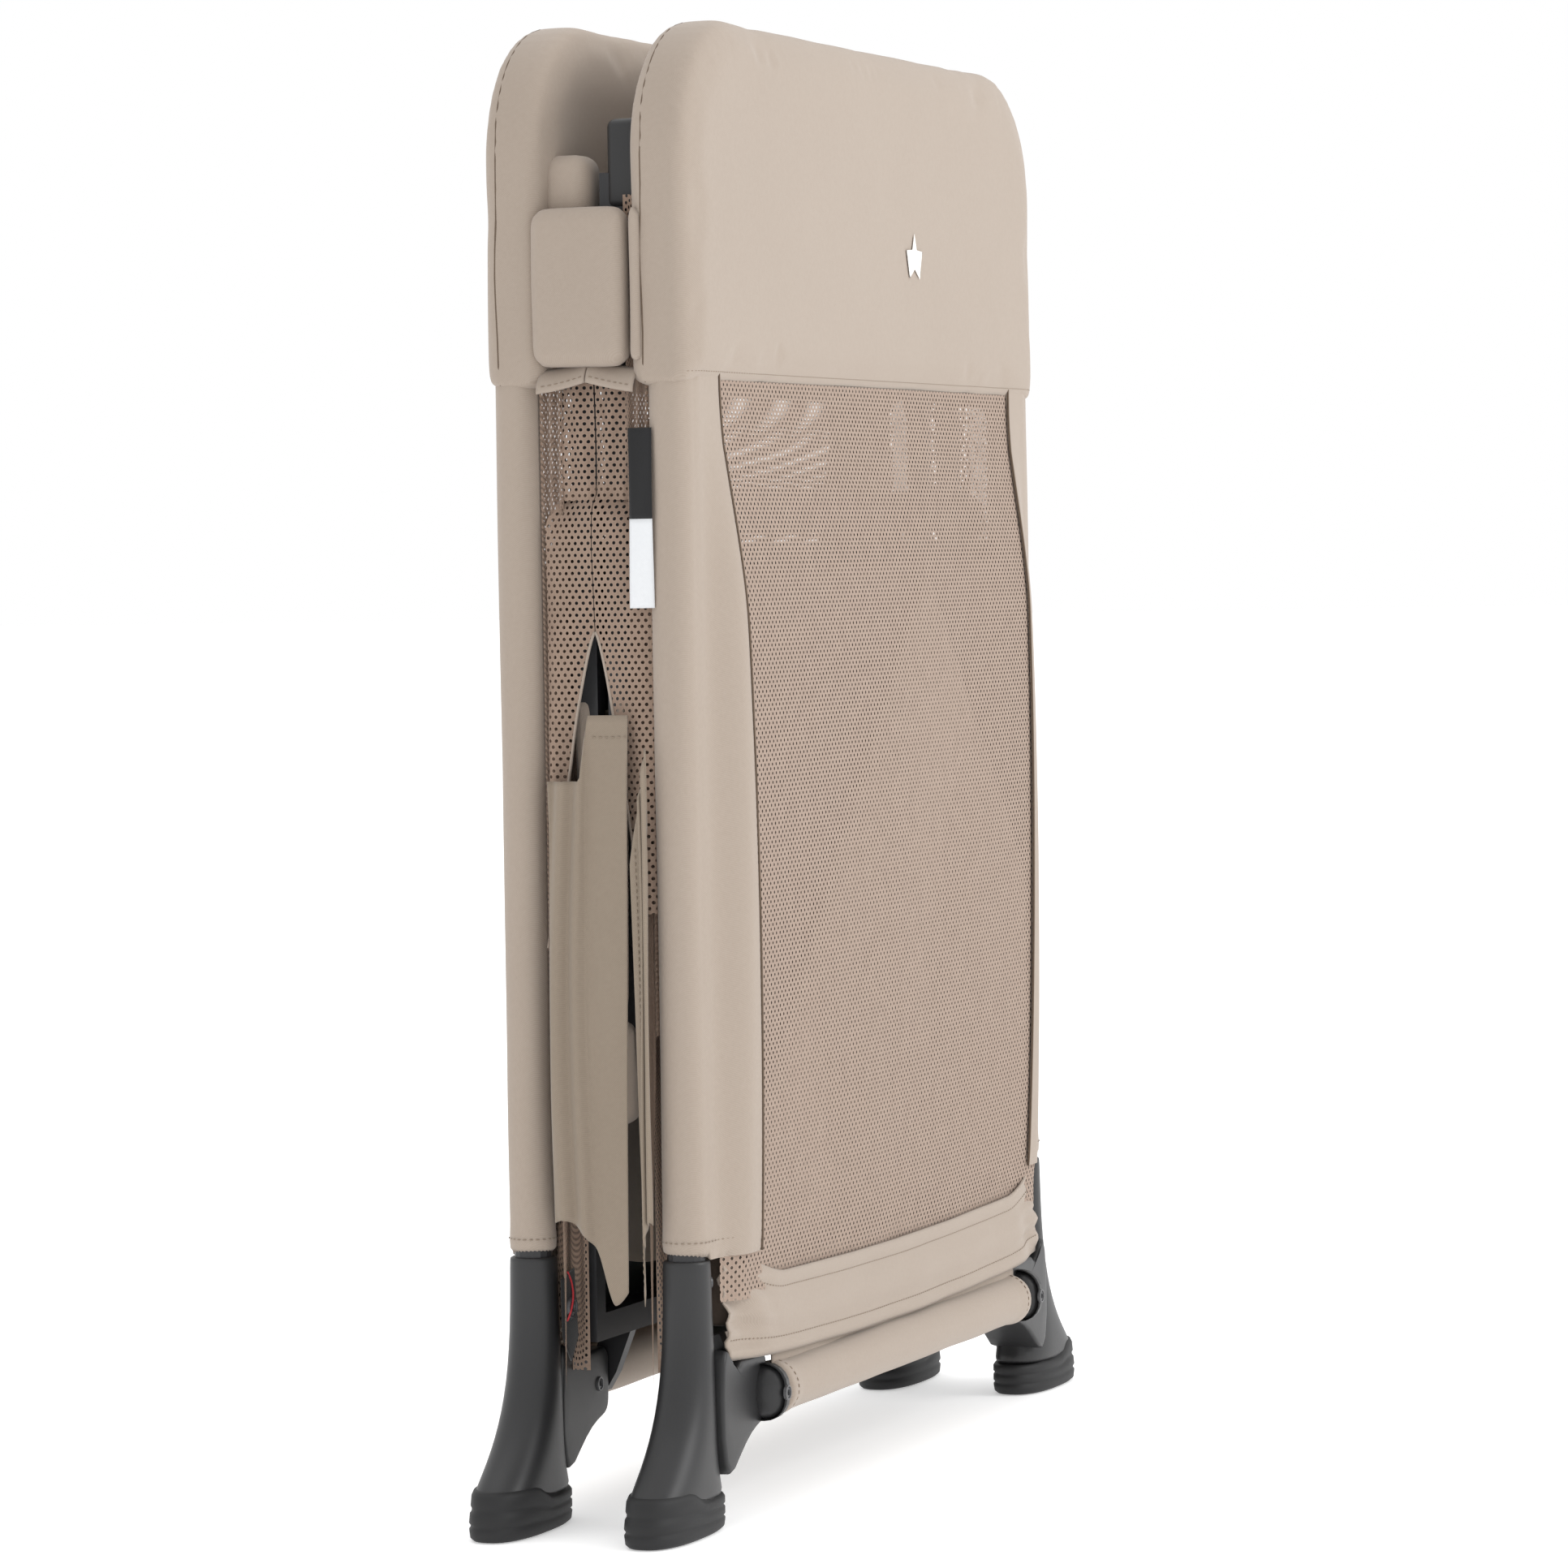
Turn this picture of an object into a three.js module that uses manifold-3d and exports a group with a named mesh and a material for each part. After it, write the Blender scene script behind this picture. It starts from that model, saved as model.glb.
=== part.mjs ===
// A folding travel cot that folds flat: two end frames, a floor and two top rails that fold at mid-length.
// Millimetres, +Z up. X runs along the end frames, Y runs from the front end frame to the rear one.
// The cot is folded: the floor halves stand up and the half rails hang down between the end frames.
import * as THREE from "three";
import { mergeVertices } from "three/addons/utils/BufferGeometryUtils.js";
import { RoundedBoxGeometry } from "three/addons/geometries/RoundedBoxGeometry.js";
import Module from "manifold-3d";

const wasm = await Module();
wasm.setup();

// Driving dimensions
const TOTAL_HEIGHT = 785;
const LEG_X = 266;
const FRAME_Y = -43;
const ARM_LENGTH = 460; // from a floor or rail pivot to its middle joint, the same for floor and rails
const JOINT_SET = 12; // how far a middle joint lies nearer the middle than the pivot at the end frame
const GAP = 0.3;
const SIDES = 16;

// End frame
const TUBE_R = 10;
const TUBE_BEND = 62;
const TUBE_TOP = TOTAL_HEIGHT - 22;
const SLEEVE_R = TUBE_R + 1.8;
const CASTING_TOP = 141;
const SOCKET_BOTTOM = 96;
const SOLE_TOP = 16;
const FOOT_SHIFT = 22;
const FOOT_LENGTH = 94;
const FOOT_WIDTH = 36;
const CAP_BOTTOM = 590;
const CAP_HALF_WIDTH = 284;
const CAP_THICK = 38;
const CAP_CORNER = 72;
const CAP_SOFT_EDGE = 9;

// Floor
const FLOOR_PIVOT = { y: -37, z: 66 };
const FLOOR_JOINT = { y: FLOOR_PIVOT.y + JOINT_SET, z: FLOOR_PIVOT.z + ARM_LENGTH };
const LUG_INNER_X = 199;
const LUG_PIN_R = 5;
const FLOOR_ARM_X = 238;
const FLOOR_ARM = { wide: 12, deep: 16 };
const END_BAR_Z = 99;
const PANEL_HALF_WIDTH = 246;
const PANEL_BOTTOM = 94;
const PANEL_TOP = 508;
const BOARD_THICK = 3;
const MATTRESS_THICK = 21;
const CROSS_TUBE = { y: -60, z: 64, r: 14 };

// Top rails
const RAIL_PIVOT = { y: -21, z: 702 };
const RAIL_JOINT = { y: RAIL_PIVOT.y + JOINT_SET, z: RAIL_PIVOT.z - ARM_LENGTH };
const RAIL_X = -257;
const RAIL = { wide: 10, deep: 12 };
const RAIL_EYE_R = 7.5;
const RAIL_PIN_R = 3;
const BRACKET = { outer: -262, inner: -236, y0: -31.5, y1: -13, z0: 684, z1: 729 };
const ROOM_GAP = 1; // between the corner block and the swept end of the rail
const LOCK_OUTER_X = -277;
const LOCK_FACE_X = -262.6;
const BUTTON = { r: 6, z: RAIL_JOINT.z, proud: 3 };

const finishes = {
  fabric: { color: 0xc9bdb0, roughness: 0.9, metalness: 0 },
  mesh: { color: 0xb7a79b, roughness: 0.9, metalness: 0 },
  dark_mesh: { color: 0x4a4038, roughness: 0.9, metalness: 0 },
  black_plastic: { color: 0x2b2b2c, roughness: 0.5, metalness: 0 },
  rubber: { color: 0x1f1f20, roughness: 0.85, metalness: 0 },
  steel: { color: 0x303133, roughness: 0.45, metalness: 0.4 },
  board: { color: 0x26292a, roughness: 0.8, metalness: 0 },
  red_plastic: { color: 0xb3342c, roughness: 0.45, metalness: 0 },
};

function solid(geometry) {
  const bare = geometry.index ? geometry.toNonIndexed() : geometry.clone();
  bare.deleteAttribute("normal");
  bare.deleteAttribute("uv");
  const merged = mergeVertices(bare, 1e-3);
  return new wasm.Manifold(
    new wasm.Mesh({
      numProp: 3,
      vertProperties: merged.attributes.position.array,
      triVerts: new Uint32Array(merged.index.array),
    }),
  );
}

function piece(name, body, finish) {
  const mesh = body.getMesh();
  const geometry = new THREE.BufferGeometry()
    .setAttribute("position", new THREE.BufferAttribute(mesh.vertProperties, 3))
    .setIndex(new THREE.BufferAttribute(mesh.triVerts, 1));
  geometry.computeVertexNormals();
  const made = new THREE.Mesh(geometry, new THREE.MeshStandardMaterial(finishes[finish]));
  made.name = name;
  return made;
}

// A block between two corners; soft rounds its edges.
function block([x0, y0, z0], [x1, y1, z1], soft = 0) {
  const size = [x1 - x0, y1 - y0, z1 - z0];
  const box = soft ? new RoundedBoxGeometry(...size, 2, soft) : new THREE.BoxGeometry(...size);
  return solid(box.translate((x0 + x1) / 2, (y0 + y1) / 2, (z0 + z1) / 2));
}

function rodX(x0, x1, y, z, r) {
  const rod = new THREE.CylinderGeometry(r, r, x1 - x0, SIDES).rotateZ(Math.PI / 2);
  return solid(rod.translate((x0 + x1) / 2, y, z));
}

function rodZ(x, y, z0, z1, r) {
  const rod = new THREE.CylinderGeometry(r, r, z1 - z0, SIDES).rotateX(Math.PI / 2);
  return solid(rod.translate(x, y, (z0 + z1) / 2));
}

// An outline in the YZ plane drawn out along X.
function alongX(outline, x0, x1) {
  const shape = new THREE.Shape(outline.map(([y, z]) => new THREE.Vector2(y, z)));
  const drawn = new THREE.ExtrudeGeometry(shape, { depth: x1 - x0, bevelEnabled: false });
  const turn = new THREE.Matrix4().set(0, 0, 1, x0, 1, 0, 0, 0, 0, 1, 0, 0, 0, 0, 0, 1);
  return solid(drawn.applyMatrix4(turn));
}

// Closed rings of equal length joined into one skin, with a flat end at each side.
function skin(rings) {
  const count = rings[0].length;
  const points = rings.flat();
  const faces = [];
  for (let k = 0; k + 1 < rings.length; k++) {
    for (let i = 0; i < count; i++) {
      const j = (i + 1) % count;
      const [a, b, c, d] = [k * count + i, k * count + j, (k + 1) * count + i, (k + 1) * count + j];
      faces.push(a, b, d, a, d, c);
    }
  }
  const last = (rings.length - 1) * count;
  for (let i = 1; i + 1 < count; i++) {
    faces.push(0, i + 1, i);
    faces.push(last, last + i, last + i + 1);
  }
  const geometry = new THREE.BufferGeometry().setFromPoints(points);
  return solid(geometry.setIndex(faces));
}

// A round bar through points of the XZ plane at y = 0.
function bentBar(path, r) {
  const rings = path.map((point, k) => {
    const before = path[Math.max(k - 1, 0)];
    const after = path[Math.min(k + 1, path.length - 1)];
    const across = new THREE.Vector2().subVectors(after, before).normalize();
    return Array.from({ length: SIDES }, (_, i) => {
      const turn = (2 * Math.PI * i) / SIDES;
      const side = r * Math.cos(turn);
      return new THREE.Vector3(point.x + across.y * side, r * Math.sin(turn), point.y - across.x * side);
    });
  });
  return skin(rings);
}

// The inverted U of an end frame, from one casting over the top to the other.
function endTubePath() {
  const bendSteps = 8;
  const path = [new THREE.Vector2(-LEG_X, SOCKET_BOTTOM + GAP)];
  for (const side of [-1, 1]) {
    for (let i = 0; i <= bendSteps; i++) {
      const share = side < 0 ? i / bendSteps : 1 - i / bendSteps;
      const turn = (share * Math.PI) / 2;
      const x = side * (LEG_X - TUBE_BEND + TUBE_BEND * Math.cos(turn));
      path.push(new THREE.Vector2(x, TUBE_TOP - TUBE_BEND + TUBE_BEND * Math.sin(turn)));
    }
  }
  path.push(new THREE.Vector2(LEG_X, SOCKET_BOTTOM + GAP));
  return path;
}

function endTube() {
  return bentBar(endTubePath(), TUBE_R).translate([0, FRAME_Y, 0]);
}

// A ring of a foot: an oval at height z whose corners get squarer as power rises.
function oval(x, z, halfLength, halfWidth, power) {
  const count = 24;
  return Array.from({ length: count }, (_, i) => {
    const turn = (2 * Math.PI * i) / count;
    const [c, s] = [Math.cos(turn), Math.sin(turn)];
    return new THREE.Vector3(
      x + halfLength * Math.sign(c) * Math.abs(c) ** (2 / power),
      FRAME_Y + halfWidth * Math.sign(s) * Math.abs(s) ** (2 / power),
      z,
    );
  });
}

// Leg casting on the left: socket for the tube, flared foot and the lug that carries the floor pivot.
function legCasting() {
  const r = SLEEVE_R + 0.4;
  const [halfLength, halfWidth] = [FOOT_LENGTH / 2 - 1, FOOT_WIDTH / 2 - 0.5];
  const body = skin([
    oval(-LEG_X - FOOT_SHIFT, SOLE_TOP + GAP, halfLength, halfWidth, 2.5),
    oval(-LEG_X - FOOT_SHIFT + 2, SOLE_TOP + 8, halfLength - 5, halfWidth - 0.5, 2.4),
    oval(-LEG_X - 12, 38, 30, 16, 2.2),
    oval(-LEG_X - 5, 56, 20, 15, 2.1),
    oval(-LEG_X - 1, 80, 14.5, 14, 2),
    oval(-LEG_X, 102, r + 0.6, r + 0.6, 2),
    oval(-LEG_X, CASTING_TOP, r, r, 2),
  ]);
  const lug = alongX(
    [[-28, 54], [-28, 76], [-34, 84], [-56, 84], [-62, 78], [-62, 60], [-52, 52], [-34, 52]].reverse(),
    -LEG_X,
    -LUG_INNER_X,
  );
  const crossSeat = rodX(-LUG_INNER_X - 16, -LUG_INNER_X, CROSS_TUBE.y, CROSS_TUBE.z, CROSS_TUBE.r + 1.2);
  const socket = rodZ(-LEG_X, FRAME_Y, SOCKET_BOTTOM, CASTING_TOP + 5, TUBE_R + GAP);
  const bore = rodX(-LUG_INNER_X - 20, -LUG_INNER_X + 1, FLOOR_PIVOT.y, FLOOR_PIVOT.z, LUG_PIN_R + 0.5);
  return body.add(lug).add(crossSeat).subtract(socket).subtract(bore);
}

function sole() {
  const [halfLength, halfWidth] = [FOOT_LENGTH / 2, FOOT_WIDTH / 2];
  return skin([
    oval(-LEG_X - FOOT_SHIFT, 0, halfLength - 1.5, halfWidth - 1.5, 2.5),
    oval(-LEG_X - FOOT_SHIFT, 2, halfLength, halfWidth, 2.5),
    oval(-LEG_X - FOOT_SHIFT, SOLE_TOP, halfLength, halfWidth, 2.5),
  ]);
}

function legSleeve() {
  const outer = rodZ(-LEG_X, FRAME_Y, CASTING_TOP + GAP, CAP_BOTTOM - GAP, SLEEVE_R);
  return outer.subtract(rodZ(-LEG_X, FRAME_Y, CASTING_TOP, CAP_BOTTOM, TUBE_R + GAP));
}

// Corner block on the left leg: a housing in the cap with room for the rail's eye and for the rail's end,
// whose far corner sweeps above the pivot as the rail folds out.
function railBracket() {
  const endSweep = JOINT_SET + RAIL.deep / 2;
  const roomTop = RAIL_PIVOT.z + endSweep + ROOM_GAP;
  const { outer, inner, y0, y1, z0, z1 } = BRACKET;
  const housing = block([outer, y0, z0], [inner, y1, z1], 4);
  const eyeInner = RAIL_X + RAIL.wide / 2 + 0.5;
  const eyeRoom = block([outer - 1, y0 - 1, z0 - 1], [eyeInner, y1 + 1, roomTop]);
  const pin = rodX(outer, eyeInner + 1.5, RAIL_PIVOT.y, RAIL_PIVOT.z, RAIL_PIN_R);
  return housing.subtract(eyeRoom).add(pin);
}

// Padded cap over the top of an end frame, with the tube's channel and room for the corner blocks.
function cap() {
  const inset = CAP_SOFT_EDGE;
  const [half, low, high] = [CAP_HALF_WIDTH - inset, CAP_BOTTOM + inset, TOTAL_HEIGHT - inset];
  const corner = CAP_CORNER - inset;
  const outline = new THREE.Shape();
  outline.moveTo(-half, low);
  outline.lineTo(half, low);
  outline.lineTo(half, high - corner);
  outline.absarc(half - corner, high - corner, corner, 0, Math.PI / 2);
  outline.lineTo(-half + corner, high);
  outline.absarc(-half + corner, high - corner, corner, Math.PI / 2, Math.PI);
  const padded = new THREE.ExtrudeGeometry(outline, {
    depth: CAP_THICK - 2 * inset,
    bevelThickness: inset,
    bevelSize: inset,
    bevelSegments: 3,
    curveSegments: 8,
  });
  padded.rotateX(Math.PI / 2).translate(0, FRAME_Y + CAP_THICK / 2 - inset, 0);
  const channel = bentBar(endTubePath(), TUBE_R + GAP).translate([0, FRAME_Y, 0]);
  let body = solid(padded).subtract(channel);
  for (const side of [-1, 1]) {
    const [near, far] = [side * 234, side * 264.5];
    const room = block([Math.min(near, far), -32, 678], [Math.max(near, far), -20, 731]);
    body = body.subtract(room);
  }
  return body;
}

// Mesh wall of an end frame: it bows out over the mattress half behind it.
function endMesh() {
  const bow = [[-48, CAP_BOTTOM - GAP], [-56, 562], [-62.5, 525], [-64, 320], [-62.5, 126]];
  const inner = bow.map(([y, z]) => [y + 1.6, z]).reverse();
  return alongX([...bow, ...inner], -251, 251);
}

function bottomBorder() {
  return block([-250, -66, 82], [250, -62.8, 125.5], 1.4);
}

function crossTube() {
  return rodX(-LUG_INNER_X + GAP, LUG_INNER_X - GAP, CROSS_TUBE.y, CROSS_TUBE.z, CROSS_TUBE.r);
}

// Half of the floor frame: side arms, end bar and, at each side, the plate on the lug's pin.
function floorFrame() {
  const { wide, deep } = FLOOR_ARM;
  const y0 = FLOOR_JOINT.y - deep / 2;
  const y1 = FLOOR_JOINT.y + deep / 2;
  const outer = FLOOR_ARM_X + wide / 2;
  let body = block([-outer, y0, END_BAR_Z - 7], [outer, y1, END_BAR_Z + 7]);
  for (const side of [-1, 1]) {
    const x0 = side * FLOOR_ARM_X - wide / 2;
    const arm = block([x0, y0, END_BAR_Z - 7], [x0 + wide, y1, FLOOR_JOINT.z]);
    const eye = rodX(x0, x0 + wide, FLOOR_JOINT.y, FLOOR_JOINT.z, deep / 2);
    const hole = rodX(x0 - 1, x0 + wide + 1, FLOOR_JOINT.y, FLOOR_JOINT.z, 4.4);
    const plateX = side * (LUG_INNER_X - 5);
    const plateOutline = [[-44, 66], [-41, 60], [-32, 60], [-26, 70], [y1, 93], [y0, 93]];
    const plate = alongX(plateOutline, plateX - 4, plateX + 4);
    const pin = rodX(
      Math.min(plateX, plateX + side * 20), Math.max(plateX, plateX + side * 20),
      FLOOR_PIVOT.y, FLOOR_PIVOT.z, LUG_PIN_R,
    );
    body = body.add(arm).add(eye).add(plate).add(pin).subtract(hole);
  }
  return body;
}

function floorBoard() {
  const y1 = FLOOR_JOINT.y - FLOOR_ARM.deep / 2 - GAP;
  return block([-PANEL_HALF_WIDTH, y1 - BOARD_THICK, PANEL_BOTTOM], [PANEL_HALF_WIDTH, y1, PANEL_TOP]);
}

function mattress() {
  const y1 = FLOOR_JOINT.y - FLOOR_ARM.deep / 2 - BOARD_THICK - 2 * GAP;
  const half = PANEL_HALF_WIDTH - 2;
  return block([-half, y1 - MATTRESS_THICK, PANEL_BOTTOM + 3], [half, y1, PANEL_TOP - 6], 8);
}

// Middle joint of the floor: a cross bar with two end plates, each with a pin for both arms.
function floorSpine() {
  const plateX = FLOOR_ARM_X - FLOOR_ARM.wide / 2 - 0.8;
  const z = FLOOR_JOINT.z;
  let body = block([-plateX, -4, z - 12], [plateX, 4, z + 12]);
  for (const side of [-1, 1]) {
    const [near, far] = [side * plateX, side * (plateX - 7)];
    const [x0, x1] = [Math.min(near, far), Math.max(near, far)];
    body = body.add(block([x0, FLOOR_JOINT.y, z - 11], [x1, -FLOOR_JOINT.y, z + 11]));
    for (const y of [FLOOR_JOINT.y, -FLOOR_JOINT.y]) {
      const tip = side * (FLOOR_ARM_X + FLOOR_ARM.wide / 2 + 0.5);
      body = body.add(rodX(x0, x1, y, z, 11));
      body = body.add(rodX(Math.min(x0, tip), Math.max(x1, tip), y, z, 4));
    }
  }
  return body;
}

// Skid under the middle joint on the left; it meets the ground when the floor is flat.
function spineFoot() {
  const top = FLOOR_JOINT.z - 12 - GAP;
  return block([-170, -4.5, top - 38], [-120, 4.5, top], 3);
}

// Half rail on the left, hanging from its pivot, with an eye at each end.
function halfRail() {
  const [x0, x1] = [RAIL_X - RAIL.wide / 2, RAIL_X + RAIL.wide / 2];
  const y0 = RAIL_JOINT.y - RAIL.deep / 2;
  const y1 = RAIL_JOINT.y + RAIL.deep / 2;
  const bar = block([x0, y0, RAIL_JOINT.z], [x1, y1, RAIL_PIVOT.z]);
  const upperEye = rodX(x0, x1, RAIL_PIVOT.y, RAIL_PIVOT.z, RAIL_EYE_R);
  const shoulderLow = RAIL_PIVOT.z - 22;
  const shoulderOutline = [
    [RAIL_PIVOT.y - 5, RAIL_PIVOT.z - 5],
    [y0, shoulderLow],
    [y1, shoulderLow],
    [y1, RAIL_PIVOT.z],
  ];
  const shoulder = alongX(shoulderOutline, x0, x1);
  const lowerEye = rodX(x0, x1, RAIL_JOINT.y, RAIL_JOINT.z, RAIL.deep / 2);
  const upperHole = rodX(x0 - 1, x1 + 1, RAIL_PIVOT.y, RAIL_PIVOT.z, RAIL_PIN_R + 0.4);
  const lowerHole = rodX(x0 - 1, x1 + 1, RAIL_JOINT.y, RAIL_JOINT.z, RAIL_PIN_R + 0.4);
  return bar.add(upperEye).add(shoulder).add(lowerEye).subtract(upperHole).subtract(lowerHole);
}

// Padded sleeve round the middle stretch of a half rail.
function railPad() {
  const wall = 2;
  const [x0, x1] = [RAIL_X - RAIL.wide / 2 - GAP, RAIL_X + RAIL.wide / 2 + GAP];
  const y0 = RAIL_JOINT.y - RAIL.deep / 2 - GAP;
  const y1 = RAIL_JOINT.y + RAIL.deep / 2 + GAP;
  const [z0, z1] = [RAIL_JOINT.z + 22, 432];
  const outer = block([x0 - wall, y0 - 1, z0], [x1 + wall - 1, y1 + 1, z1]);
  return outer.subtract(block([x0, y0, z0 - 1], [x1, y1, z1 + 1]));
}

// Lock housing at the middle joint of the left rails, with a pin for each half rail.
function railLock() {
  const z = RAIL_JOINT.z;
  let body = block([LOCK_OUTER_X, -16, z - 32], [LOCK_FACE_X, 16, z + 18], 5);
  for (const y of [RAIL_JOINT.y, -RAIL_JOINT.y]) {
    body = body.add(rodX(LOCK_FACE_X - 3, RAIL_X + RAIL.wide / 2 + 0.5, y, z, RAIL_PIN_R));
  }
  return body.subtract(rodX(LOCK_OUTER_X - 1, LOCK_OUTER_X + 9, 0, BUTTON.z, BUTTON.r + 0.4));
}

function lockButton() {
  return rodX(LOCK_OUTER_X - BUTTON.proud, LOCK_OUTER_X + 4, 0, BUTTON.z, BUTTON.r);
}

// Side mesh between the left leg and the hanging half rail.
function upperSideMesh() {
  return block([-270.5, -31, 264], [-269, -0.8, CAP_BOTTOM - 2]);
}

// Side mesh between the left leg and the standing floor half.
function lowerSideMesh() {
  return block([-250.2, -38, 92], [-248.8, -18, 560]);
}

// Everything that belongs to one end, drawn for the front and turned half round for the rear.
function half(end) {
  const group = new THREE.Group();
  const nearSide = end === "front" ? "left" : "right";
  const farSide = end === "front" ? "right" : "left";
  const put = (name, body, finish) => group.add(piece(name, body, finish));
  const putBoth = (name, body, finish) => {
    put(`${end}_${nearSide}_${name}`, body, finish);
    put(`${end}_${farSide}_${name}`, body.mirror([1, 0, 0]), finish);
  };
  put(`${end}_end_tube`, endTube(), "steel");
  putBoth("leg_casting", legCasting(), "black_plastic");
  putBoth("sole", sole(), "rubber");
  putBoth("leg_sleeve", legSleeve(), "fabric");
  putBoth("rail_bracket", railBracket(), "black_plastic");
  put(`${end}_padded_cap`, cap(), "fabric");
  put(`${end}_mesh_wall`, endMesh(), "mesh");
  put(`${end}_bottom_border`, bottomBorder(), "fabric");
  put(`${end}_cross_tube`, crossTube(), "fabric");
  put(`${end}_floor_frame`, floorFrame(), "steel");
  put(`${end}_floor_board`, floorBoard(), "board");
  put(`${end}_mattress`, mattress(), "fabric");
  putBoth("top_rail", halfRail(), "steel");
  putBoth("rail_pad", railPad(), "fabric");
  putBoth("upper_side_mesh", upperSideMesh(), "dark_mesh");
  putBoth("lower_side_mesh", lowerSideMesh(), "dark_mesh");
  put(`${nearSide}_rail_lock`, railLock(), "black_plastic");
  put(`${nearSide}_lock_button`, lockButton(), "red_plastic");
  put(`${nearSide}_spine_foot`, spineFoot(), "rubber");
  group.rotation.z = end === "front" ? 0 : Math.PI;
  return group;
}

const cot = new THREE.Group();
cot.add(half("front"));
cot.add(half("rear"));
cot.add(piece("floor_spine", floorSpine(), "black_plastic"));

export default cot;
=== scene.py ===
"""A folding travel cot, folded flat: cloth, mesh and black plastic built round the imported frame."""

import math

import bmesh
import bpy
from mathutils import Matrix, Vector, noise


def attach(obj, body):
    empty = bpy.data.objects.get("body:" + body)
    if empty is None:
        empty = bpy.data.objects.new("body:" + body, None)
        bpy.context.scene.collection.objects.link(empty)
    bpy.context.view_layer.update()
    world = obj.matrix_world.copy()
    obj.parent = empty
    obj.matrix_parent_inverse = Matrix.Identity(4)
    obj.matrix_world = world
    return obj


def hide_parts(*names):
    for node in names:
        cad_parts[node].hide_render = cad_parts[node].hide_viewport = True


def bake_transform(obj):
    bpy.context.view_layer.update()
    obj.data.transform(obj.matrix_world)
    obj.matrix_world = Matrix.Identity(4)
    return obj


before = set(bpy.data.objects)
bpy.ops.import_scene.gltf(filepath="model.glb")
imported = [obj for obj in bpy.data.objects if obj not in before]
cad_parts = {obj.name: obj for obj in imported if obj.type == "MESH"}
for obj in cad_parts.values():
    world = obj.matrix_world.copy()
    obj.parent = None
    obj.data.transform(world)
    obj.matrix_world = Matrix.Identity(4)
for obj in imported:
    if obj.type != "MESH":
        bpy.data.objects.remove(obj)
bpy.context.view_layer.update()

MM = 0.001
ENDS = {"front": 1, "rear": -1}
MIRRORS = (-1, 1)
CAP_LOW, CAP_HIGH = 590 * MM, 784 * MM
CAP_HALF, CAP_THICK, CAP_CORNER = 279.5 * MM, 33.5 * MM, 74 * MM
CAP_Y = -40.7 * MM
PUFF_FRAMES = 20
SINK_SHARE = 0.1
RAIL_PIVOT_Z = 702 * MM
FLOOR_PIVOT_Z = 66 * MM
HALF_SPAN = 458 * MM
WALL_OVERLAP_LOW, WALL_OVERLAP_HIGH = 255 * MM, 312 * MM

# In millimetres, as the places drawn at the front left are
LEG_X, FRAME_Y = -266, -43
SLEEVE_R = 12
SLEEVE_ROUND, SLEEVE_BAND = 30, 9
BAND_EDGE = SLEEVE_ROUND + SLEEVE_BAND - 1


# Shader maths

class Val:
    """A socket that takes part in sums."""

    def __init__(self, tree, socket):
        self.tree, self.socket = tree, socket

    def op(self, kind, *others):
        return self.tree.math(kind, self, *others)

    def __add__(self, other): return self.op("ADD", other)
    def __radd__(self, other): return self.op("ADD", other)
    def __sub__(self, other): return self.op("SUBTRACT", other)
    def __rsub__(self, other): return self.tree.math("SUBTRACT", other, self)
    def __mul__(self, other): return self.op("MULTIPLY", other)
    def __rmul__(self, other): return self.op("MULTIPLY", other)
    def __truediv__(self, other): return self.op("DIVIDE", other)
    def __pow__(self, other): return self.op("POWER", other)
    def __gt__(self, other): return self.op("GREATER_THAN", other)

    def fract(self): return self.op("FRACT")
    def wave(self): return self.op("SINE") * 0.5 + 0.5


class Tree:
    """A material and its nodes."""

    def __init__(self, name, **surface):
        self.material = bpy.data.materials.new(name)
        self.material.use_nodes = True
        self.nodes = self.material.node_tree.nodes
        self.links = self.material.node_tree.links
        self.shader = self.nodes["Principled BSDF"]
        for key, value in surface.items():
            self.shader.inputs[key.replace("_", " ")].default_value = value

    def node(self, kind, settings=None, inputs=None, output=0):
        made = self.nodes.new(kind)
        for key, value in (settings or {}).items():
            setattr(made, key, value)
        for key, value in (inputs or {}).items():
            self.feed(made.inputs[key], value)
        return Val(self, made.outputs[output])

    def math(self, kind, *values):
        return self.node("ShaderNodeMath", {"operation": kind}, dict(enumerate(values)))

    def feed(self, socket, value):
        if isinstance(value, Val):
            self.links.new(value.socket, socket)
        else:
            socket.default_value = value

    def paint(self, **channels):
        for key, value in channels.items():
            self.feed(self.shader.inputs[key.replace("_", " ")], value)

    def place(self, uv=False):
        return self.node("ShaderNodeTexCoord", output="UV" if uv else "Object")

    def split(self, vector):
        return [self.node("ShaderNodeSeparateXYZ", None, {0: vector}, i) for i in range(3)]

    def noise(self, vector, scale, detail=3.0):
        return self.node("ShaderNodeTexNoise", None, {"Vector": vector, "Scale": scale, "Detail": detail})

    def mix(self, factor, a, b):
        return self.node("ShaderNodeMix", {"data_type": "RGBA"}, {"Factor": factor, 6: a, 7: b}, 2)

    def bump(self, height, strength, distance):
        inputs = {"Height": height, "Strength": strength, "Distance": distance}
        self.paint(Normal=self.node("ShaderNodeBump", None, inputs))


def rgb(*channels):
    """A display colour, 0 to 255, as linear light."""
    shares = [c / 255 for c in channels]
    return (*[c / 12.92 if c <= 0.04045 else ((c + 0.055) / 1.055) ** 2.4 for c in shares], 1.0)


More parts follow.
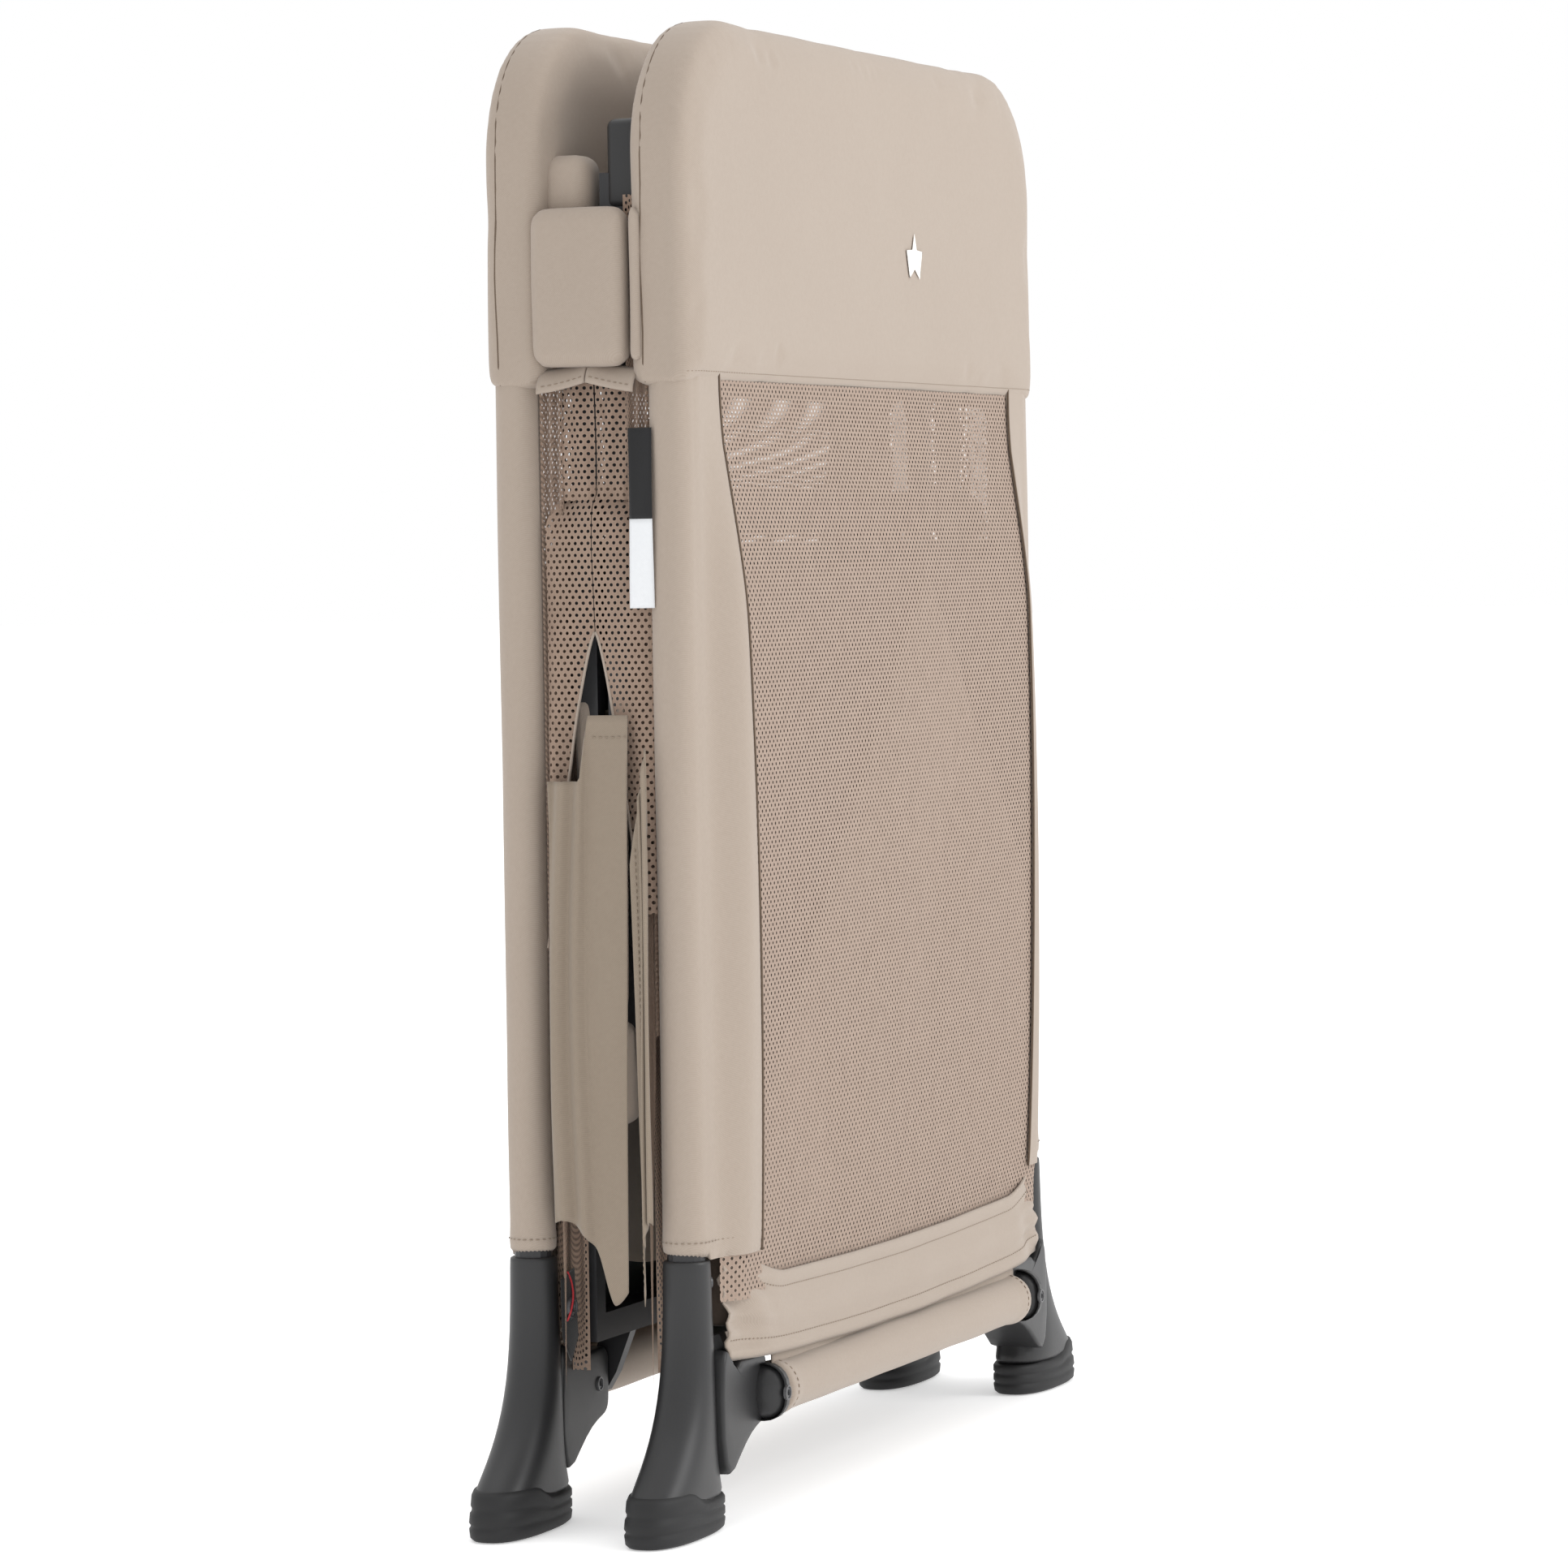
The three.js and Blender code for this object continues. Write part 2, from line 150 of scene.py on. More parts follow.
def twill(name, light, dark, rib=1.1 * MM, sheen=0.2):
    """Woven twill: fine diagonal ribs crossed by the yarn, mottled, with a soft sheen."""
    t = Tree(name, Sheen_Weight=sheen, Sheen_Roughness=0.5, Specular_IOR_Level=0.2)
    at = t.place()
    x, y, z = t.split(at)
    turns = 2 * math.pi / rib
    ribs = ((x + y * 0.9 + z) * turns).wave()
    yarns = ((x + y * 0.9 - z) * (turns * 1.6)).wave()
    mottle, broad = t.noise(at, 420.0), t.noise(at, 7.0)
    t.paint(Base_Color=t.mix(mottle * 0.4 + broad * 0.3 + ribs * 0.3, dark, light),
            Roughness=mottle * 0.12 + 0.80)
    t.bump(ribs * 0.6 + yarns * 0.3 + mottle * 0.4, 0.4, 0.00016)
    return t.material


def mattress_twill():
    """Cover of the mattress, with painted shade: dark for the shade behind the end mesh, painted paler on
    the ridge that touches it, where less shade falls.
    """
    t = Tree("mattress_cover", Sheen_Weight=0.1, Specular_IOR_Level=0.15)
    at = t.place()
    _, y, _ = t.split(at)
    # Painted light and shade: mask of the ridge that touches the end mesh, painted paler because less shade
    # falls there.
    painted_lit_ridge = t.node("ShaderNodeMapRange", {"interpolation_type": "SMOOTHSTEP"},
                   {"Value": y.op("ABSOLUTE"), "From Min": 60 * MM, "From Max": 63.5 * MM})
    mottle = t.noise(at, 420.0)
    # Painted shade: the dark colour stands for the cover in shade behind the mesh, the pale one for the less
    # shaded ridge.
    t.paint(Base_Color=t.mix(painted_lit_ridge * 0.9 + mottle * 0.1, rgb(92, 80, 71), rgb(176, 160, 147)),
            Roughness=mottle * 0.1 + 0.85)
    t.bump(mottle, 0.3, 0.00015)
    return t.material


def knit_mesh(name, light, dark, pitch, row, hole):
    """Knitted mesh: staggered open holes in a raised knit, laid out in the cloth's own flat size."""
    t = Tree(name, Sheen_Weight=0.1, Specular_IOR_Level=0.15)
    u, v, _ = t.split(t.place(uv=True))
    at = t.place()
    line = (v / row).op("FLOOR")
    across = ((u / pitch + line * 0.5).fract() - 0.5) * pitch
    along = ((v / row).fract() - 0.5) * row
    far = (across * across + along * along * 0.9) ** 0.5
    warp, mottle = t.noise(at, 600.0, 1.0), t.noise(at, 90.0)
    rim = (far * (math.pi / (hole * 2))).wave()
    t.paint(Base_Color=t.mix(mottle * 0.6 + rim * 0.35, dark, light), Roughness=mottle * 0.1 + 0.82,
            Alpha=(far + warp * (hole * 0.3)) > (hole * 1.15))
    t.bump(rim * 0.6 + warp * 0.5, 0.45, 0.00022)
    return t.material


def moulded(name, colour, edge, roughness, grain=900.0, depth=0.00005):
    """Moulded plastic or rubber: fine spark grain and a little uneven gloss."""
    t = Tree(name, Specular_IOR_Level=0.42)
    at = t.place()
    fine, broad = t.noise(at, grain, 2.0), t.noise(at, 16.0)
    t.paint(Base_Color=t.mix(broad * 0.7 + fine * 0.3, colour, edge),
            Roughness=broad * 0.14 + fine * 0.06 + (roughness - 0.1))
    t.bump(fine, 0.35, depth)
    return t.material


def studio_white():
    t = Tree("studio_white", Roughness=0.9, Specular_IOR_Level=0.0, Emission_Strength=0.42)
    t.shader.inputs["Base Color"].default_value = (0.86, 0.86, 0.86, 1)
    t.shader.inputs["Emission Color"].default_value = (1, 1, 1, 1)
    return t.material


materials = {
    "twill": twill("beige_twill", rgb(172, 159, 147), rgb(155, 141, 128)),
    "cover": mattress_twill(),
    "lining": twill("floor_lining", rgb(150, 137, 122), rgb(130, 117, 103)),
    "seam": twill("seam_thread", rgb(116, 101, 87), rgb(92, 79, 68), sheen=0.0),
    "thread": twill("stitch_thread", rgb(150, 134, 118), rgb(128, 113, 98), rib=0.5 * MM),
    "end_mesh": knit_mesh("end_mesh", rgb(170, 151, 137), rgb(147, 128, 115), 5.2 * MM, 2.4 * MM,
                          0.82 * MM),
    "side_mesh": knit_mesh("side_mesh", rgb(158, 137, 122), rgb(133, 113, 99), 3.6 * MM, 3.1 * MM,
                           0.86 * MM),
    "black": moulded("black_plastic", rgb(34, 34, 35), rgb(47, 47, 48), 0.42),
    "rubber": moulded("sole_rubber", rgb(24, 24, 25), rgb(36, 36, 37), 0.62, 500.0, 0.00009),
    "steel": moulded("black_powder_coat", rgb(34, 34, 36), rgb(48, 48, 50), 0.38, 1400.0),
    "board": moulded("dark_board", rgb(22, 30, 28), rgb(34, 44, 41), 0.7, 300.0),
    "screw": moulded("dark_screw", rgb(60, 60, 62), rgb(88, 88, 90), 0.28, 1800.0),
    "red": moulded("red_thread", rgb(168, 34, 44), rgb(200, 60, 66), 0.6),
    "webbing": twill("black_webbing", rgb(36, 36, 37), rgb(20, 20, 21), rib=1.6 * MM),
    "label_black": twill("black_label", rgb(44, 44, 45), rgb(32, 32, 33), rib=0.6 * MM),
    "label_white": twill("white_label", rgb(232, 234, 236), rgb(214, 216, 219), rib=0.6 * MM),
    "print": moulded("white_print", rgb(246, 243, 238), rgb(236, 232, 226), 0.6),
    "studio": studio_white(),
}
FABRICS = ("twill", "cover", "lining", "seam", "thread", "label_black", "label_white", "print")
SLOTS = {**dict.fromkeys(FABRICS, "beige_fabric"), "end_mesh": "beige_mesh", "side_mesh": "dark_mesh",
         "black": "black_plastic", "webbing": "black_plastic", "red": "red_plastic",
         "rubber": "sole_rubber", "board": "dark_board", "steel": "black_steel", "screw": "black_steel"}


# Mesh making

def build(bm, name, material, body=None, levels=0, wall=0.0, smooth=True):
    """The bmesh as a finished object with its material, riding on a body if one is given."""
    mesh = bpy.data.meshes.new(name)
    bm.to_mesh(mesh)
    bm.free()
    mesh.polygons.foreach_set("use_smooth", [smooth] * len(mesh.polygons))
    mesh.materials.append(materials[material])
    made = bpy.data.objects.new(name, mesh)
    bpy.context.scene.collection.objects.link(made)
    if wall:
        solid = made.modifiers.new("wall", "SOLIDIFY")
        solid.thickness, solid.offset = wall, 0
    if levels:
        add_subdivision(made, levels)
    if body:
        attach(made, body)
    material in SLOTS
    return made


def add_subdivision(made, levels=1):
    sub = made.modifiers.new("smooth", "SUBSURF")
    sub.levels = sub.render_levels = levels


def bake_modifiers(made):
    """Applies what the modifiers do to the mesh and removes them."""
    evaluated = made.evaluated_get(bpy.context.evaluated_depsgraph_get())
    mesh = bpy.data.meshes.new_from_object(evaluated)
    made.modifiers.clear()
    made.data = mesh


def at_end(bm, end, mirror=-1):
    """A piece drawn at the front left: mirrored to the right, then turned half round for the rear."""
    if mirror > 0:
        bmesh.ops.scale(bm, vec=(-1, 1, 1), verts=bm.verts)
        bmesh.ops.reverse_faces(bm, faces=bm.faces)
    if ENDS[end] < 0:
        bmesh.ops.rotate(bm, verts=bm.verts, cent=(0, 0, 0), matrix=Matrix.Rotation(math.pi, 3, "Z"))
    return bm


def side_name(end, mirror):
    return "left" if mirror * ENDS[end] < 0 else "right"


def loft(rings, closed=True):
    """Rings of points bridged into one skin, with both ends filled if it is closed."""
    bm = bmesh.new()
    loops, ends = [], []
    for ring in rings:
        verts = bmesh.ops.create_circle(bm, segments=len(ring), radius=1.0)["verts"]
        for vert, point in zip(verts, ring):
            vert.co = point
        loops.append(list(dict.fromkeys(edge for vert in verts for edge in vert.link_edges)))
        ends.append(verts)
    for a, b in zip(loops, loops[1:]):
        bmesh.ops.bridge_loops(bm, edges=a + b)
    if closed:
        for verts in (ends[0], ends[-1]):
            bmesh.ops.contextual_create(bm, geom=verts)
    bmesh.ops.recalc_face_normals(bm, faces=bm.faces)
    return bm


def tube(points, radius, sides=8, round_trip=False):
    """A round cord along points, closed on itself or with filled ends."""
    count = len(points)
    rings = []
    for i, point in enumerate(points):
        before = points[i - 1] if i or round_trip else points[0]
        after = points[(i + 1) % count] if i < count - 1 or round_trip else points[-1]
        turn = (after - before).to_track_quat("Z", "Y").to_matrix()
        angles = [2 * math.pi * k / sides for k in range(sides)]
        rings.append([point + turn @ Vector((math.cos(a), math.sin(a), 0)) * radius for a in angles])
    if not round_trip:
        return loft(rings)
    bm = loft(rings + [rings[0]], closed=False)
    bmesh.ops.remove_doubles(bm, verts=bm.verts, dist=1e-6)
    bmesh.ops.recalc_face_normals(bm, faces=bm.faces)
    return bm


def cloth_grid(columns, rows, place):
    """A grid of cloth: place(s, t) gives a point and its place on the flat cut, both in metres."""
    bm = bmesh.new()
    bmesh.ops.create_grid(bm, x_segments=columns, y_segments=rows, size=0.5)
    uv = bm.loops.layers.uv.new("cloth")
    for vert in bm.verts:
        point, flat = place(vert.co.x + 0.5, vert.co.y + 0.5)
        vert.co = point
        for loop in vert.link_loops:
            loop[uv].uv = flat
    return bm


def soft_box(low, high, edge, segments=3):
    """A block with rounded edges between two corners in millimetres."""
    low, high = Vector(low) * MM, Vector(high) * MM
    bm = bmesh.new()
    bmesh.ops.create_cube(bm, size=1.0)
    size = Matrix.Diagonal((*(high - low), 1))
    bmesh.ops.transform(bm, matrix=Matrix.Translation((low + high) / 2) @ size, verts=bm.verts)
    bmesh.ops.bevel(bm, geom=bm.edges, offset=edge * MM, segments=segments, profile=0.5,
                    affect="EDGES", material=-1)
    return bm


def plate(outline, y_low, y_high, edge):
    """An outline in X and Z, in millimetres, made a plate between two Y places, with rounded edges."""
    bm = bmesh.new()
    face = bm.faces.new([bm.verts.new(Vector((x, y_low, z)) * MM) for x, z in outline])
    push = bmesh.ops.extrude_face_region(bm, geom=[face])["geom"]
    verts = [v for v in push if isinstance(v, bmesh.types.BMVert)]
    bmesh.ops.translate(bm, verts=verts, vec=(0, (y_high - y_low) * MM, 0))
    bmesh.ops.recalc_face_normals(bm, faces=bm.faces)
    rims = [e for e in bm.edges if abs(e.verts[0].co.y - e.verts[1].co.y) < 1e-6]
    bmesh.ops.bevel(bm, geom=rims, offset=edge * MM, segments=3, profile=0.5, affect="EDGES", material=-1)
    return bm


def arc(x, z, r, start, stop, steps=5):
    """Points along an arc in X and Z, in degrees from +X towards +Z."""
    turns = [math.radians(start + (stop - start) * i / steps) for i in range(steps + 1)]
    return [(x + r * math.cos(a), z + r * math.sin(a)) for a in turns]


def ring_at(x, y, z, half_x, half_y, power=2.0, count=48):
    """A ring at height z in millimetres; its corners get squarer as power rises."""
    ring = []
    for i in range(count):
        c, s = math.cos(2 * math.pi * i / count), math.sin(2 * math.pi * i / count)
        across = half_x * math.copysign(abs(c) ** (2 / power), c)
        deep = half_y * math.copysign(abs(s) ** (2 / power), s)
        ring.append(Vector((x + across, y + deep, z)) * MM)
    return ring


def smoothstep(t):
    t = min(1.0, max(0.0, t))
    return t * t * (3 - 2 * t)


def snapped(points, cloth, sink=0.0):
    """The points moved on to a cloth's surface, or a little into it."""
    found = [cloth.closest_point_on_mesh(point) for point in points]
    return [place - normal * sink for _, place, normal, _ in found]


def spaced(points, pitch, round_trip=False):
    """Points at an even pitch along a line, each with the line's direction there."""
    line = points + points[:1] if round_trip else points
    made, left = [], pitch / 2
    for a, b in zip(line, line[1:]):
        length = (b - a).length
        while left < length:
            made.append((a.lerp(b, left / length), (b - a).normalized()))
            left += pitch
        left -= length
    return made


def stitch_row(points, name, body, material="thread", length=2.3 * MM, pitch=3.5 * MM, radius=0.32 * MM):
    """A row of single stitches along points on a cloth's surface."""
    bm = bmesh.new()
    for place, along in spaced(points, pitch):
        grow = Matrix.Diagonal((radius, radius, length / 2, 1))
        turn = along.to_track_quat("Z", "Y").to_matrix().to_4x4()
        bmesh.ops.create_uvsphere(bm, u_segments=6, v_segments=4, radius=1.0,
                                  matrix=Matrix.Translation(place) @ turn @ grow)
    return build(bm, name, material, body)


def end_points(points, end, mirror=-1):
    """Points drawn at the front left, moved as at_end moves a piece."""
    turn = ENDS[end]
    flip = -1 if mirror > 0 else 1
    return [Vector((p.x * flip * turn, p.y * turn, p.z)) for p in points]


# Padded pieces

def puff(bm, name, material, body, voxel, pressure, reach, crumple=0.0):
    """Swells a closed shape as cloth. Points stay within reach of their start and hardly sink in."""
    made = build(bm, name, material)
    remesh = made.modifiers.new("remesh", "REMESH")
    remesh.mode, remesh.voxel_size = "VOXEL", voxel
    bake_modifiers(made)
    start = [vert.co.copy() for vert in made.data.vertices]
    cloth = made.modifiers.new("cloth", "CLOTH")
    cloth.settings.use_pressure = True
    cloth.settings.uniform_pressure_force = pressure
    cloth.settings.effector_weights.gravity = 0
    for step in range(1, PUFF_FRAMES + 1):
        bpy.context.scene.frame_set(step)
    bake_modifiers(made)
    bpy.context.scene.frame_set(1)
    for vert, was in zip(made.data.vertices, start):
        move = vert.co - was
        if move.dot(vert.normal) < 0:
            move *= SINK_SHARE
        if move.length > reach:
            move = move.normalized() * reach
        vert.co = was + move + vert.normal * (crumple * noise.noise(was * 24))
    made.data.polygons.foreach_set("use_smooth", [True] * len(made.data.polygons))
    if body:
        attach(made, body)
    return made


def cap_outline(inset=0.0, straight=26, bend=12):
    """The cap's outline in X and Z: square corners below, round ones above."""
    half, low, high = CAP_HALF - inset, CAP_LOW + inset, CAP_HIGH - inset
    r = CAP_CORNER - inset
    points = [(-half + 2 * half * i / straight, low) for i in range(straight)]
    points += [(half, low + (high - r - low) * i / 8) for i in range(8)]
    points += arc(half - r, high - r, r, 0, 90, bend)[:-1]
    points += [(half - r - 2 * (half - r) * i / straight, high) for i in range(straight)]
    points += arc(r - half, high - r, r, 90, 180, bend)[:-1]
    points += [(-half, high - r - (high - r - low) * i / 8) for i in range(8)]
    return points


def padded_cap(end):
    """Padded cover over the top of an end frame. Its seam runs near the face that points to the rear."""
    body, half, soft = f"{end}_end_frame", CAP_THICK / 2, 9 * MM
    steps = [0, 22, 45, 68, 90]
    profile = [(soft * (1 - math.sin(math.radians(a))), -half + soft * (1 - math.cos(math.radians(a))))
               for a in steps]
    profile = [(inset, y) for inset, y in profile] + [(inset, -y) for inset, y in reversed(profile)]
    rings = [[Vector((x, CAP_Y + y, z)) for x, z in cap_outline(inset)] for inset, y in profile]
    made = puff(at_end(loft(rings), end), f"{end}_cap_cover", "twill", body, 4.5 * MM, 3.5, 3.2 * MM,
                0.5 * MM)
    add_subdivision(made)
    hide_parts(f"{end}_padded_cap")
    seam_y = CAP_Y * ENDS[end] + 9.5 * MM
    path = [Vector((x, seam_y + 0.9 * MM * math.sin(z * 60), z)) for x, z in cap_outline(-3 * MM)]
    bpy.context.view_layer.update()
    line = snapped(path, made, 0.35 * MM)
    build(tube(line, 0.62 * MM, 6, True), f"{end}_cap_seam", "seam", body)
    hem_y = (CAP_Y - CAP_THICK / 2 - 2 * MM) * ENDS[end]
    hem = [Vector((-CAP_HALF + 2 * CAP_HALF * i / 80, hem_y, CAP_LOW + 7 * MM)) for i in range(81)]
    stitch_row(snapped(hem, made), f"{end}_cap_hem_stitches", body)
    return made


def mattress_half(end):
    """Mattress half: flat against its board, crowned outside, with a ridge where it meets the end mesh."""
    bm = at_end(soft_box((-242, -56.2, 99), (242, -37.4, 500), 7), end)
    made = puff(bm, f"{end}_mattress_cover", "cover", f"{end}_floor", 6 * MM, 3.0, 2 * MM)
    for vert in made.data.vertices:
        x, y, z = vert.co.x * ENDS[end] / MM, vert.co.y * ENDS[end] / MM, vert.co.z / MM
        spread = (500 - z) * 0.98
        inside = smoothstep((x - 70 + spread) / 16) * smoothstep((70 + spread * 0.9 - x) / 16)
        lift = 8.6 * inside * smoothstep((-48 - y) / 6) * smoothstep((z - 112) / 30)
        lift *= smoothstep((238 - abs(x)) / 18)
        vert.co.y = max(y - lift, mesh_y(x, z) + 2.2) * MM * ENDS[end]
    add_subdivision(made)
    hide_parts(f"{end}_mattress")


def rail_pad(end, mirror):
    """Padding round a half rail, leaning as the rail leans."""
    side = side_name(end, mirror)
    bm = soft_box((-264, -15.4, 266), (-251, -3.4, 430), 4)
    for vert in bm.verts:
        vert.co.y += (348 * MM - vert.co.z) * 12 / 460
    made = puff(at_end(bm, end, mirror), f"{end}_{side}_rail_padding", "twill", f"{end}_{side}_rail",
                4 * MM, 2.0, 1.2 * MM)
    add_subdivision(made)
    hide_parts(f"{end}_{side}_rail_pad")


def inner_lobe(end):
    """Padded band across the inner face of an end frame, under the cap's own padding."""
    rings = []
    stations = [(-248, 7, 0), (-243, 2, 0), (-180, 0, 1), (-60, 0, 0), (60, 0, 1), (180, 0, 0), (243, 2, 0),
                (248, 7, 0)]
    for x, inset, step in stations:
        middle, tall, deep = 640 + step, 43 - inset, 5.2 - inset * 0.4
        ring = [Vector((x, -20 + deep * math.cos(a), middle + tall * math.sin(a))) * MM
                for a in [2 * math.pi * k / 24 for k in range(24)]]
        rings.append(ring)
    made = puff(at_end(loft(rings), end), f"{end}_inner_lobe", "twill", f"{end}_end_frame",
                4 * MM, 4.0, 3 * MM, 0.9 * MM)
    add_subdivision(made)


def corner_gusset(end, mirror):
    """Padded corner of the side, blended on to the rail. The rear one laps over to the front."""
    side, flip = side_name(end, mirror), ENDS[end]
    if end == "front":
        low, high, edge = (-283, -31.5, 602), (-265, -25.6, 683), 2.7
    else:
        low, high, edge = (-284, -30, 601), (-265, 23.4, 684), 8.5
    bm = at_end(soft_box(low, high, edge, 4), end, mirror)
    made = puff(bm, f"{end}_{side}_corner_gusset", "twill", None, 3.5 * MM, 3.0, 0.9 * MM,
                0.7 * MM)
    add_subdivision(made)
    -27 * MM * flip
    -16 * MM * flip
    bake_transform(made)


def lock_pouch(side):
    """Cloth cover over a rail lock, and the round pad over its button."""
    mirror = -1 if side == "left" else 1
    bm = at_end(soft_box((-277.6, -16, 208), (-251, 16, 262), 6), "front", mirror)
    made = puff(bm, f"{side}_lock_pouch", "twill", f"{side}_lock", 4 * MM, 2.5, 0.9 * MM, 0.2 * MM)
    add_subdivision(made)
    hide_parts(f"{side}_rail_lock")
    bm = bmesh.new()
    spot = Matrix.Translation((-278.6 * MM, 0, 242 * MM)) @ Matrix.Rotation(math.pi / 2, 4, "Y")
    bmesh.ops.create_cone(bm, cap_ends=True, segments=28, radius1=7.4 * MM, radius2=7.4 * MM,
                          depth=3 * MM, matrix=spot)
    rims = [e for e in bm.edges if abs(e.verts[0].co.x - e.verts[1].co.x) < 1e-6]
    bmesh.ops.bevel(bm, geom=rims, offset=1.3 * MM, segments=3, profile=0.5, affect="EDGES", material=-1)
    pad = build(at_end(bm, "front", mirror), f"{side}_button_patch", "twill", f"{side}_button")
    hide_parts(f"{side}_lock_button")


# End frames

def mesh_y(x, z):
    """Y of the end mesh, in millimetres: it leaves the legs' fronts and bows out over the mattress."""
    across = smoothstep((258 - abs(x)) / 26)
    down = smoothstep((592 - z) / 130)
    belly = math.sin(math.pi * min(1.0, max(0.0, (560 - z) / 430))) ** 0.8 if z < 560 else 0.0
    gather = smoothstep((150 - z) / 30)
    return -54.4 - across * (9.2 * down + 5.2 * belly - 1.0 * gather)


def end_mesh(end):
    """Perforated end wall, from under the cap to the bottom border."""
    half, low, high = 252, 116, 594

    def place(s, t):
        x, z = -half + 2 * half * s, low + (high - low) * t
        droop = 4 * math.sin(math.pi * s) * (1 - t) ** 6
        fold = 0.9 * noise.noise(Vector((x * 0.011, z * 0.006, 3)))
        return Vector((x, mesh_y(x, z) + fold, z - droop)) * MM, (x * MM, z * MM)

    made = build(at_end(cloth_grid(100, 100, place), end), f"{end}_mesh_cover", "end_mesh",
                 f"{end}_end_frame")
    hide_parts(f"{end}_mesh_wall")


def sleeve_ring(z, hem):
    """One ring of a leg sleeve: round the tube, then along a flat band that reaches the end mesh."""
    r = SLEEVE_R + hem
    band = 34 + 15 * (590 - z) / 449
    inner = math.asin((r - 1.5) / r)
    ring = []
    for k in range(SLEEVE_ROUND):
        a = -inner + (math.pi * 1.5 + inner) * k / (SLEEVE_ROUND - 1)
        slack = 0.4 * noise.noise(Vector((math.cos(a) * 1.5, math.sin(a) * 1.5, z * 0.012)))
        ring.append((math.cos(a) * (r + slack), math.sin(a) * (r + slack)))
    for k in range(1, SLEEVE_BAND + 1):
        u = band * k / SLEEVE_BAND
        ring.append((u, min(-r, mesh_y(LEG_X + u, z) - FRAME_Y - 1.6)))
    for k in range(SLEEVE_BAND):
        u = band - (band - 5) * k / SLEEVE_BAND
        ring.append((u, min(-r + 1.3, mesh_y(LEG_X + u, z) - FRAME_Y - 0.4)))
    return [Vector((LEG_X + u, FRAME_Y + v, z)) * MM for u, v in ring]


def leg_sleeve(end, mirror):
    """Cloth sleeve on a leg, with the seam to the mesh and a stitched hem at its foot."""
    side, body = side_name(end, mirror), f"{end}_end_frame"
    low, high, steps = 139.4, 600, 58
    heights = [low + (high - low) * k / steps for k in range(steps + 1)]
    rings = [sleeve_ring(z, 0.45 if z < 150 else 0.0) for z in heights]
    made = build(at_end(loft(rings), end, mirror), f"{end}_{side}_leg_cover", "twill", body, levels=1)
    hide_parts(f"{end}_{side}_leg_sleeve")
    edge = [ring[BAND_EDGE] + Vector((0, -0.2, 0)) * MM for ring in rings]
    build(at_end(tube(edge, 0.6 * MM, 6), end, mirror), f"{end}_{side}_mesh_seam", "seam", body)
    hem = [point + Vector((0, 0, 9.5)) * MM for point in rings[0][12:BAND_EDGE]]
    middle = Vector((LEG_X, FRAME_Y, 151)) * MM
    hem = [point + (point - middle).normalized() * 0.35 * MM for point in hem]
    stitch_row(end_points(hem, end, mirror), f"{end}_{side}_hem_stitches", body)


def bottom_border(end):
    """Border under the end mesh: upper hem, soft band and rolled lower hem, gathered at the legs."""
    body, half = f"{end}_end_frame", 250

    def place(s, t):
        x = -half + 2 * half * s
        near = smoothstep(1 - min(s, 1 - s) / 0.14)
        middle = math.sin(math.pi * s)
        top, foot = 127 - 5 * middle + 13 * near, 85 - 6 * middle
        z = foot + (top - foot) * t
        roll = 2.8 * math.exp(-((t - 0.08) / 0.09) ** 2)
        hem = 0.9 * smoothstep((t - 0.80) / 0.06)
        band = 2.4 * math.sin(math.pi * min(1, max(0, (t - 0.16) / 0.6)))
        fine = 2.4 * math.sin(70 * s + 6 * t) * math.sin(math.pi * t)
        pucker = near * (fine + 1.2 * math.sin(31 * t + 9 * s))
        wave = 0.9 * noise.noise(Vector((x * 0.02, t * 2, 0)))
        y = -63.6 + 8.0 * near ** 2 - roll - hem - band - pucker - wave
        return Vector((x, y, z)) * MM, (x * MM, z * MM)

    bm = at_end(cloth_grid(170, 22, place), end)
    made = build(bm, f"{end}_border_cover", "twill", body, wall=1.1 * MM)
    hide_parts(f"{end}_bottom_border")
    for name, t in [("upper", 0.80), ("lower", 0.19)]:
        line = [place(i / 120, t)[0] + Vector((0, -0.75, 0)) * MM for i in range(1, 120)]
        stitch_row(end_points(line, end), f"{end}_border_{name}_stitches", body)


def bottom_panel(end):
    """Cloth web from the cross tube up behind the border, closing the foot of the end wall."""
    half = 196

    def place(s, t):
        x, z = -half + 2 * half * s, 70 + 88 * t
        y = -62.0 + 2.2 * t + 0.7 * noise.noise(Vector((x * 0.02, z * 0.02, 7)))
        return Vector((x, y, z)) * MM, (x * MM, z * MM)

    bm = at_end(cloth_grid(60, 14, place), end)
    made = build(bm, f"{end}_bottom_panel", "twill", f"{end}_end_frame", wall=0.8 * MM)


def cross_sleeve(end):
    """Cloth sleeve on the cross tube, with a wider hem and stitches at both ends."""
    body, half, y0, z0 = f"{end}_end_frame", 197.5, -60, 64
    rings = []
    for k in range(71):
        s = k / 70
        x = -half + 2 * half * s
        ring = []
        for i in range(32):
            a = 2 * math.pi * i / 32
            crease = 0.55 * noise.noise(Vector((x * 0.02, math.cos(a) * 1.2, math.sin(a) * 1.2)))
            flare = 0.7 if min(s, 1 - s) < 0.03 else 0.0
            r = 13.5 + flare + crease
            sag = 1.06 if a > math.pi else 1
            ring.append(Vector((x, y0 + r * math.cos(a), z0 + r * math.sin(a) * sag)) * MM)
        rings.append(ring)
    made = build(at_end(loft(rings), end), f"{end}_cross_cover", "twill", body, levels=1)
    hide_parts(f"{end}_cross_tube")
    for name, x in [("left", -half + 9), ("right", half - 9)]:
        turns = [math.pi * (0.55 + 0.95 * k / 30) for k in range(31)]
        line = [Vector((x, y0 + 14.3 * math.cos(a), z0 + 14.3 * math.sin(a))) * MM for a in turns]
        stitch_row(end_points(line, end), f"{end}_cross_{name}_stitches", body)


